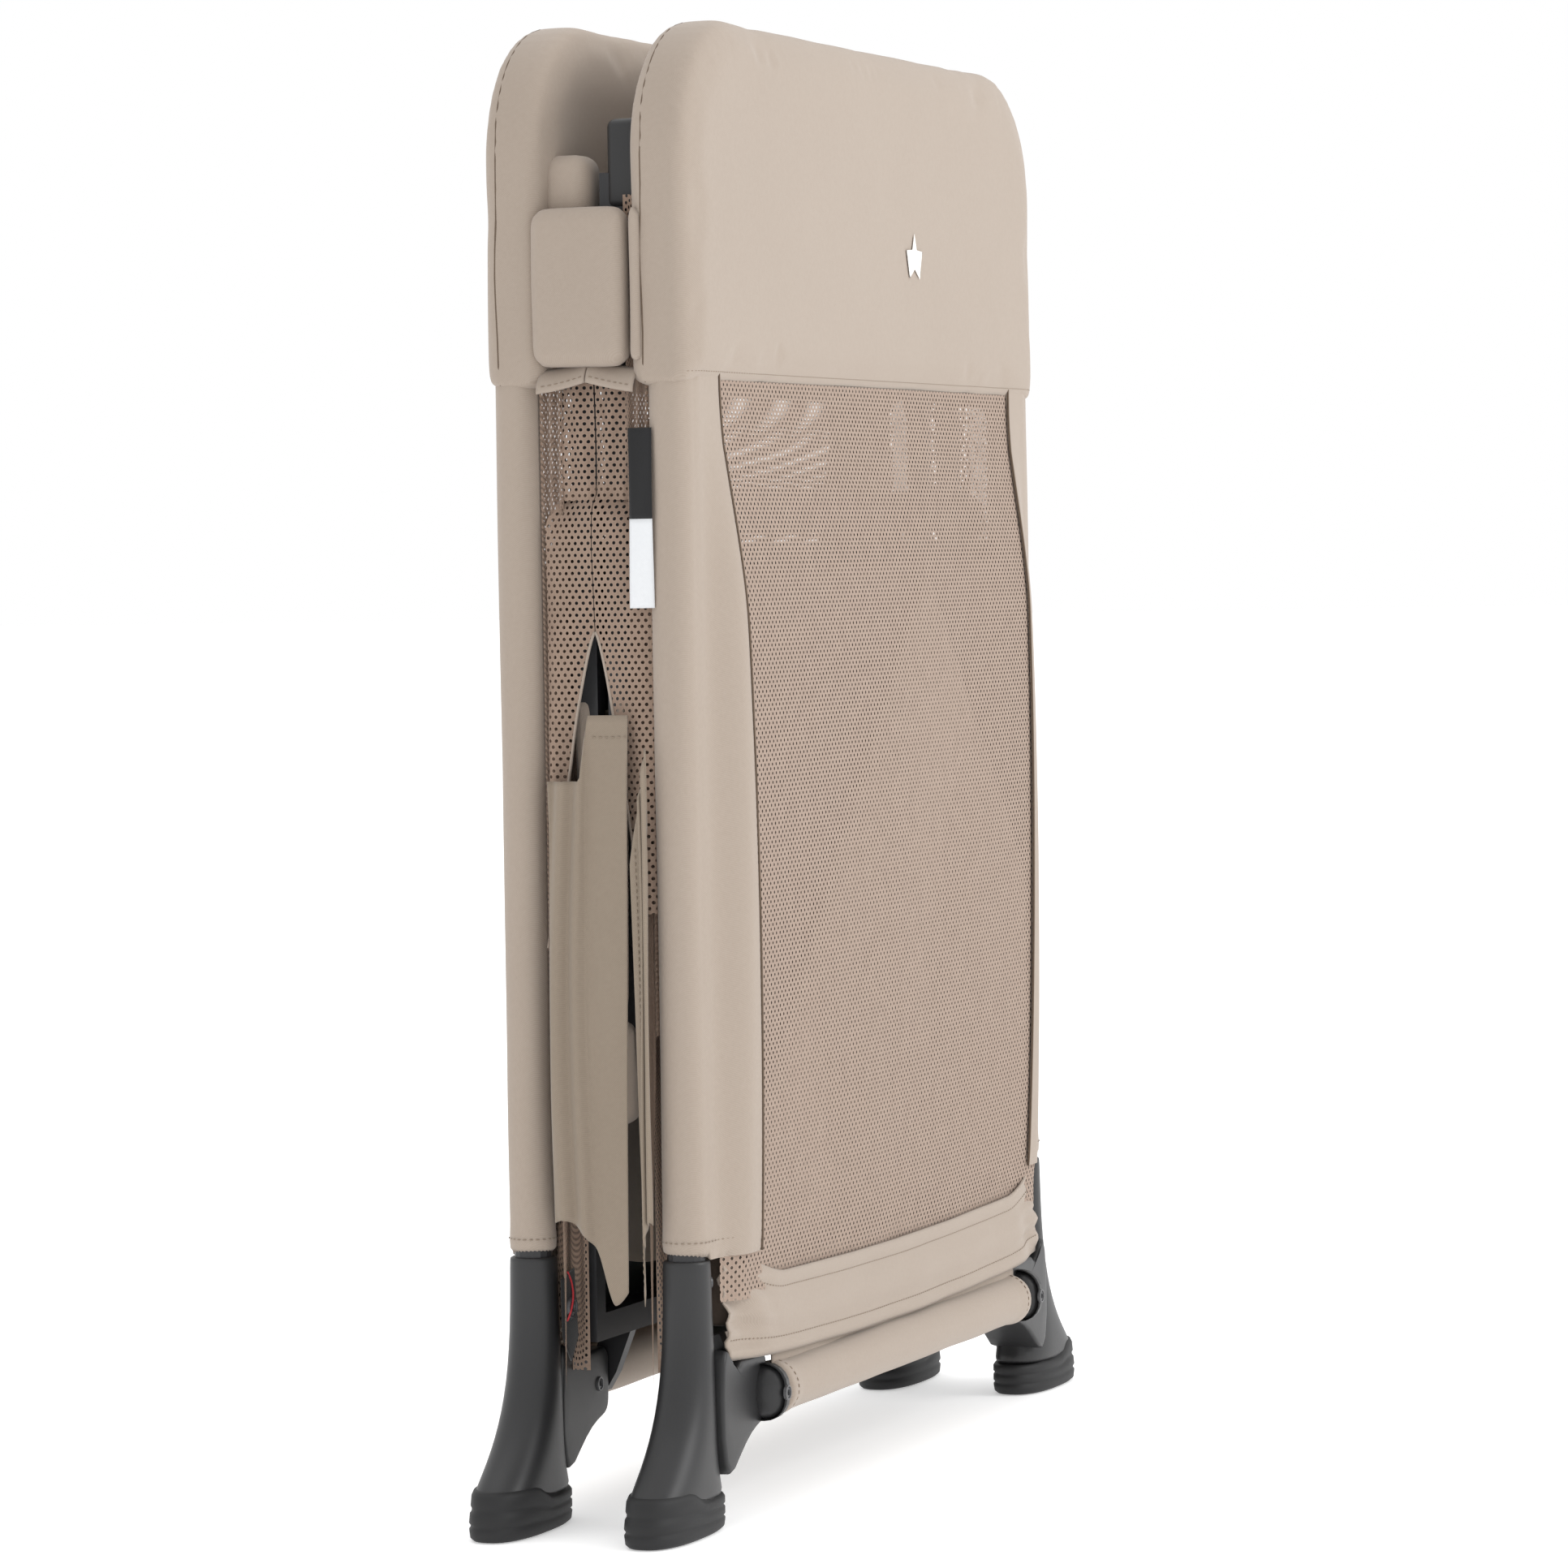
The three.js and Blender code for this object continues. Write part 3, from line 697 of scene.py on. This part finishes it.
def leg_casting(end, mirror):
    """Black casting: round socket, flared foot, and the lug that holds the cross tube and floor pivot."""
    side, body = side_name(end, mirror), f"{end}_end_frame"
    sections = [(16.6, -22, 45, 17.2, 2.5), (20, -21.6, 44, 17.0, 2.5), (27, -19, 38.5, 16.8, 2.4),
                (36, -14.5, 31.5, 16.2, 2.3), (47, -9.6, 25, 15.6, 2.2), (60, -5.2, 19.6, 15, 2.1),
                (75, -2.2, 16, 14.2, 2.0), (92, -0.6, 13.8, 13.4, 2.0), (110, 0, 12.8, 12.8, 2.0),
                (137, 0, 12.5, 12.5, 2.0), (138.6, 0, 12.2, 12.2, 2.0), (139.4, 0, 11.4, 11.4, 2.0)]
    rings = [ring_at(LEG_X + dx, FRAME_Y, z, half_x, half_y, power)
             for z, dx, half_x, half_y, power in sections]
    foot = build(at_end(loft(rings), end, mirror), f"{end}_{side}_foot", "black", body, levels=1)
    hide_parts(f"{end}_{side}_leg_casting")
    outline = ([(-262, 96)] + arc(-241, 92, 11, 190, 268, 6) + arc(-234, 79, 5, 150, 90, 3)
               + arc(-207, 78, 7, 90, 0, 5) + [(-199.6, 66)] + arc(-209, 57, 9, 0, -80, 4)
               + [(-222, 45), (-240, 34), (-254, 22), (-264, 40)])
    lug = at_end(plate(outline, -61, -29, 2.2), end, mirror)
    build(lug, f"{end}_{side}_lug", "black", body, levels=1)
    collar = soft_box((-216, -75, 49), (-199.2, -45, 79), 12, 5)
    build(at_end(collar, end, mirror), f"{end}_{side}_tube_collar", "black", body)


def sole(end, mirror):
    """Rubber sole with two ring grooves and a wavy toe cap that climbs the outer end of the foot."""
    side, centre = side_name(end, mirror), LEG_X - 22
    heights = [(0, -2.2), (1.4, -0.5), (5, 0), (5.8, -0.8), (6.8, -0.8), (7.6, 0), (10.6, 0), (11.4, -0.8),
               (12.4, -0.8), (13.2, 0), (16, 0), (17.4, -1.0)]
    rings = []
    for z, inset in heights:
        ring = ring_at(centre, FRAME_Y, z, 47 + inset, 18 + inset, 2.5)
        for point in ring:
            toe = smoothstep((centre - point.x / MM + 4) / 26)
            point.z += toe * 7.5 * MM * (z / 17.4) ** 2
            point.x += toe * 4.2 * MM * (max(0, z - 8) / 9.4)
        rings.append(ring)
    made = build(at_end(loft(rings), end, mirror), f"{end}_{side}_foot_sole", "rubber", f"{end}_end_frame")
    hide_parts(f"{end}_{side}_sole")


def screw_head(name, body, end, mirror, centre, normal, radius):
    """Round screw head in a raised rim, with a round socket."""
    bm = bmesh.new()
    bmesh.ops.create_cone(bm, cap_ends=True, segments=28, radius1=radius, radius2=radius * 0.92,
                          depth=1.6 * MM)
    top = max(bm.faces, key=lambda face: face.calc_center_median().z)
    bmesh.ops.inset_region(bm, faces=[top], thickness=radius * 0.18, depth=0)
    bmesh.ops.inset_region(bm, faces=[top], thickness=radius * 0.04, depth=-0.5 * MM)
    bmesh.ops.inset_region(bm, faces=[top], thickness=radius * 0.32, depth=0.35 * MM)
    bmesh.ops.inset_region(bm, faces=[top], thickness=radius * 0.05, depth=-0.9 * MM)
    turn = Vector(normal).to_track_quat("Z", "Y").to_matrix().to_4x4()
    bmesh.ops.transform(bm, matrix=Matrix.Translation(Vector(centre) * MM) @ turn, verts=bm.verts)
    build(at_end(bm, end, mirror), name, "screw", body, smooth=False)


def screws(end, mirror):
    side, body = side_name(end, mirror), f"{end}_end_frame"
    spots = [("socket_screw", (-257.6, -52, 127), (0.72, -0.7, 0), 3.4 * MM),
             ("lug_screw", (-208, -75.2, 64), (0, -1, 0), 4.2 * MM),
             ("inner_lug_screw", (-214, -28.8, 66), (0, 1, 0), 4.0 * MM),
             ("outer_pivot_screw", (-259, -36, 100), (-0.6, 0.8, 0), 4.0 * MM)]
    for name, centre, normal, radius in spots:
        screw_head(f"{end}_{side}_{name}", body, end, mirror, centre, normal, radius)


def corner_block(end, mirror):
    """Housing of the top rail's pivot: bare black at the front, a knuckle of cloth at the rear."""
    side, body = side_name(end, mirror), f"{end}_end_frame"
    if end == "front":
        bm = at_end(soft_box((-263.4, -25, 683), (-233, -7, 730), 4.5, 4), end, mirror)
        made = build(bm, f"{end}_{side}_corner_block", "black", body)
    else:
        bm = at_end(soft_box((-268, -30, 676), (-242, -2.2, 712), 9, 5), end, mirror)
        made = build(bm, f"{end}_{side}_corner_block", "twill", body)
    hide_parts(f"{end}_{side}_rail_bracket")


# Sides

def fan_reach(angle, drop):
    """How far from its pivot a side cloth reaches at an angle, so that it squares off when open."""
    sine, cosine = math.sin(angle), math.cos(angle)
    return min(HALF_SPAN / max(sine, 1e-3), drop / max(cosine, 1e-3))


def side_cloth(end, mirror, name, pivot, near, far, x, drop, down, full):
    """Side mesh that hangs in pleats when folded and opens as a fan, up to full width at its far edge."""
    side = side_name(end, mirror)

    def place(s, t):
        angle = smoothstep(s) * math.pi / 2
        reach = min(fan_reach(angle, drop), full)
        r = 12 * MM + (reach - 12 * MM) * t
        pleat = 1.7 * MM * math.sin(s * math.pi * 5) * min(1.0, t * 5)
        point = Vector((-x - pleat, near + (far - near) * s, pivot + down * r))
        return point, (r * math.sin(angle), r * math.cos(angle))

    made = build(at_end(cloth_grid(40, 90, place), end, mirror), f"{end}_{side}_{name}", "side_mesh")
    bpy.context.view_layer.update()
    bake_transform(made)
    return made


def side_meshes(end, mirror):
    side = side_name(end, mirror)
    upper = side_cloth(end, mirror, "upper_cloth", RAIL_PIVOT_Z, -31 * MM, -18 * MM,
                       267 * MM, RAIL_PIVOT_Z - WALL_OVERLAP_LOW, -1, 640 * MM)
    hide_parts(f"{end}_{side}_upper_side_mesh")
    lower = side_cloth(end, mirror, "lower_cloth", FLOOR_PIVOT_Z, -37 * MM, -19 * MM,
                       249 * MM, WALL_OVERLAP_HIGH - FLOOR_PIVOT_Z, 1, 515 * MM)
    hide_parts(f"{end}_{side}_lower_side_mesh")


def gap_curtain(end, mirror):
    """Mesh that closes the gap under the padded corner, hung from the rail."""
    side = side_name(end, mirror)

    def place(s, t):
        y, z = -18 + 17.6 * s, 532 + 64 * t
        x = -266.4 - 1.6 * math.sin(s * math.pi) - 0.8 * math.sin(9 * s + z * 0.06)
        return Vector((x, y, z)) * MM, (y * MM, z * MM)

    made = build(at_end(cloth_grid(16, 30, place), end, mirror), f"{end}_{side}_gap_curtain", "side_mesh",
                 f"{end}_{side}_rail")


def gap_binding(end, mirror):
    """Stitched strip that binds the foot of the padded corner, up to the middle of the gap."""
    side, flip = side_name(end, mirror), ENDS[end]

    def place(s, t):
        y = -27 + 26.7 * s
        z = 590 + 12 * t - 2.5 * math.sin(math.pi * (0.5 + s * 0.5)) + 3.0 * s
        x = -280.5 + 9 * t ** 2 + 2.2 * math.sin(2.6 * s)
        return Vector((x, y, z)) * MM, (y * MM, z * MM)

    made = build(at_end(cloth_grid(18, 8, place), end, mirror), f"{end}_{side}_gap_binding", "twill",
                 wall=1.2 * MM)
    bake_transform(made)
    line = [place(i / 14, 0.3)[0] + Vector((-0.9, 0, 0)) * MM for i in range(1, 14)]
    rows = stitch_row(end_points(line, end, mirror), f"{end}_{side}_binding_stitches", None)
    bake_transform(rows)


def drape(end, mirror):
    """Side cloth drawn over the floor's folded middle: a round crest, then a leg down each floor half."""
    side, flip = side_name(end, mirror), ENDS[end]
    lean = 3 if end == "front" else -3
    low, wide = (318, 32.4) if end == "front" else (300, 27)
    straight = 0.72

    def place(s, t):
        fall = 1 - t
        y_in, z_in = -0.2 - 26 * fall ** 0.75 + lean * fall, low + (464 - low) * t
        if t < straight:
            y_out, z_out = -wide, low + (516 - low) * t / straight
        else:
            turn = (t - straight) / (1 - straight) * math.pi / 2
            y_out, z_out = -0.2 - (wide - 0.2) * math.cos(turn), 516 + 26 * math.sin(turn)
        y, z = y_in + (y_out - y_in) * s, z_in + (z_out - z_in) * s
        slack = 1.2 * noise.noise(Vector((y * 0.05, z * 0.03, 5)))
        bulge = 4.2 * math.sin(math.pi * min(1, s * 0.8 + 0.1)) + slack
        inward = 9 * smoothstep((s - 0.8) / 0.2) * smoothstep((t - straight) / 0.2)
        return Vector((-269.6 - bulge + inward, y, z)) * MM, (y * MM, z * MM)

    made = build(at_end(cloth_grid(24, 70, place), end, mirror), f"{end}_{side}_middle_drape", "side_mesh")
    bpy.context.view_layer.update()
    -22 * MM * flip
    -0.4 * MM * flip
    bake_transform(made)
    line = [place(0, i / 60)[0] for i in range(61)]
    edge = build(at_end(tube(line, 0.8 * MM, 6), end, mirror), f"{end}_{side}_drape_edge", "twill")
    -22 * MM * flip
    -0.4 * MM * flip
    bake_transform(edge)


def floor_side_folds(end, mirror):
    """Border down the side of a floor half: upright ridges by the leg, then a flat hemmed flap."""
    side, body = side_name(end, mirror), f"{end}_floor"
    start, wide = (-23.5, 45) if end == "rear" else (-31, 9.5)

    def place(s, t):
        ridges = smoothstep((0.52 - s) / 0.1)
        low = 150 + 10 * math.sin(5 * s + 1) - 24 * smoothstep((s - 0.5) / 0.3) * (1 - t)
        high = 421 - 34 * ridges if end == "rear" else 404 - 60 * s
        z = low + (high - low) * t
        sway = 1.5 * math.sin(5 * t + s * 2) * (1 - abs(2 * s - 1))
        y = start + (wide - 5 * (1 - t) * s) * s + sway
        ridge = 3.4 * math.sin(math.pi * s / 0.26 + 0.9 * math.sin(4 * t)) ** 2 * ridges
        slack = 0.8 * noise.noise(Vector((y * 0.05, z * 0.012, 9)))
        return Vector((-281.4 - ridge - slack, y, z)) * MM, (y * MM, z * MM)

    made = build(at_end(cloth_grid(46, 70, place), end, mirror), f"{end}_{side}_side_folds", "lining", body,
                 wall=1.0 * MM)
    bpy.context.view_layer.update()
    if end == "rear":
        line = [place(0.56 + 0.42 * i / 30, 0.96)[0] + Vector((-0.9, 0, 0)) * MM for i in range(31)]
    else:
        line = [place(0.7, i / 50)[0] + Vector((-0.9, 0, 0)) * MM for i in range(2, 49)]
    stitch_row(end_points(line, end, mirror), f"{end}_{side}_fold_stitches", body)


def board_cover(end):
    """Cloth on the underside of a floor half: a hem at the top and a wavy lower edge."""
    body = f"{end}_floor"

    def place(s, t):
        x = -243 + 486 * s
        foot = 122 + 9 * math.sin(x * 0.045) * math.exp(-((abs(x) - 225) / 60) ** 2)
        z = foot + (421 - foot) * t
        hem = 0.8 * smoothstep((t - 0.955) / 0.01)
        y = -32.2 + 1.1 * noise.noise(Vector((x * 0.02, z * 0.012, 2))) + hem + 3.5 * (1 - t) ** 10
        return Vector((x, max(y, -32.9), z)) * MM, (x * MM, z * MM)

    made = build(at_end(cloth_grid(90, 60, place), end), f"{end}_board_cover", "lining", body, wall=0.8 * MM)
    line = [place(i / 150, 0.94)[0] + Vector((0, 0.7, 0)) * MM for i in range(1, 150)]
    stitch_row(end_points(line, end), f"{end}_board_hem_stitches", body)


# Small things

def blank_label():
    """Two-tone label sewn into the inner seam of the front left sleeve. It carries no text."""
    halves = [("upper", "label_black", 522, 569), ("lower", "label_white", 476, 522)]
    for name, material, low, high in halves:
        def place(s, t):
            z = low + (high - low) * t
            curl = 0.8 * math.sin(s * 3 + z * 0.05)
            return Vector((-277.5 - 1.6 * s - curl, -36 + 12.5 * s, z)) * MM, (s * 13 * MM, z * MM)

        made = build(cloth_grid(8, 16, place), f"front_left_label_{name}", material, "front_end_frame",
                     wall=0.4 * MM)


def star_print(cover):
    """A small plain star printed on the front cap."""
    points = []
    for k in range(10):
        a, r = math.pi / 2 + math.pi * k / 5, 14 if k % 2 == 0 else 6
        points.append((58 + r * math.cos(a), 668 + r * math.sin(a)))
    bm = bmesh.new()
    bm.faces.new([bm.verts.new(Vector((x, -70, z)) * MM) for x, z in points])
    bmesh.ops.triangulate(bm, faces=bm.faces)
    bmesh.ops.subdivide_edges(bm, edges=bm.edges, cuts=5, use_grid_fill=True)
    bpy.context.view_layer.update()
    for vert, place in zip(bm.verts, snapped([v.co for v in bm.verts], cover, -0.75 * MM)):
        vert.co = place
    build(bm, "front_cap_star", "print", "front_end_frame", wall=0.3 * MM)


def strap_tail():
    """Pointed end of the carry strap at the rear left foot, with its red thread loop and washer."""
    outline = [(-271, 128), (-255, 132), (-251, 96), (-260, 84), (-270, 98)]
    bm = plate(outline, 24.6, 26.0, 0.4)
    build(bm, "rear_left_strap_tail", "webbing", "rear_end_frame")
    loop = [Vector((-264 + 3 * math.sin(a), 23.6 + 1.2 * math.cos(a), 119 + 13 * math.cos(a / 2 + 0.4))) * MM
            for a in [2 * math.pi * k / 36 for k in range(33)]]
    build(tube(loop, 0.55 * MM, 6), "rear_left_red_loop", "red", "rear_end_frame")
    screw_head("rear_left_strap_washer", "rear_end_frame", "front", -1, (-261, 23.6, 112), (0, -1, 0),
               6.0 * MM)


# Setting

def studio():
    """Pale floor that runs out into a white background, with soft lights."""
    bm = bmesh.new()
    bmesh.ops.create_grid(bm, x_segments=1, y_segments=1, size=40)
    bmesh.ops.translate(bm, vec=(0, 0, -0.0006), verts=bm.verts)
    build(bm, "studio_floor", "studio")
    world = bpy.data.worlds.new("studio")
    world.use_nodes = True
    world.node_tree.nodes["Background"].inputs[0].default_value = (1, 1, 1, 1)
    bpy.context.scene.world = world
    lights = [("key", (0.6, -3.0, 2.0), 40, 1.6), ("top", (0, 0.4, 3.0), 10, 2.4)]
    for name, place, power, size in lights:
        data = bpy.data.lights.new(name, "AREA")
        data.energy, data.size = power, size
        light = bpy.data.objects.new(name, data)
        light.location = place
        light.rotation_euler = (Vector((0, 0, 0.4)) - Vector(place)).to_track_quat("-Z", "Y").to_euler()
        bpy.context.scene.collection.objects.link(light)
    bpy.context.scene.view_settings.view_transform = "Standard"


def camera():
    data = bpy.data.cameras.new("camera")
    data.sensor_width, data.lens, data.shift_y = 36, 138.7, -0.149
    made = bpy.data.objects.new("camera", data)
    azimuth, roll = math.radians(-69.0), math.radians(-1.0)
    made.location = (-3.1565, -1.2132, 0.5045)
    made.rotation_euler = (Matrix.Rotation(azimuth, 3, "Z") @ Matrix.Rotation(math.pi / 2, 3, "X")
                           @ Matrix.Rotation(roll, 3, "Z")).to_euler()
    bpy.context.scene.collection.objects.link(made)
    bpy.context.scene.camera = made


def dress_frame():
    """Finishes on the CAD pieces that stay in view."""
    finishes = {"_tube": "steel", "_floor_frame": "steel", "_top_rail": "steel", "_floor_board": "board",
                "floor_spine": "black", "_spine_foot": "rubber"}
    for name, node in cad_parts.items():
        for ending, material in finishes.items():
            if name.endswith(ending):
                for place in node.material_slots:
                    place.material = materials[material]


camera()
studio()
dress_frame()
for end in ENDS:
    cover = padded_cap(end)
    if end == "front":
        star_print(cover)
    inner_lobe(end)
    mattress_half(end)
    end_mesh(end)
    bottom_border(end)
    bottom_panel(end)
    cross_sleeve(end)
    board_cover(end)
    for mirror in MIRRORS:
        leg_sleeve(end, mirror)
        leg_casting(end, mirror)
        sole(end, mirror)
        screws(end, mirror)
        corner_block(end, mirror)
        corner_gusset(end, mirror)
        rail_pad(end, mirror)
        side_meshes(end, mirror)
        gap_curtain(end, mirror)
        gap_binding(end, mirror)
        drape(end, mirror)
        floor_side_folds(end, mirror)
for side in ("left", "right"):
    lock_pouch(side)
blank_label()
strap_tail()
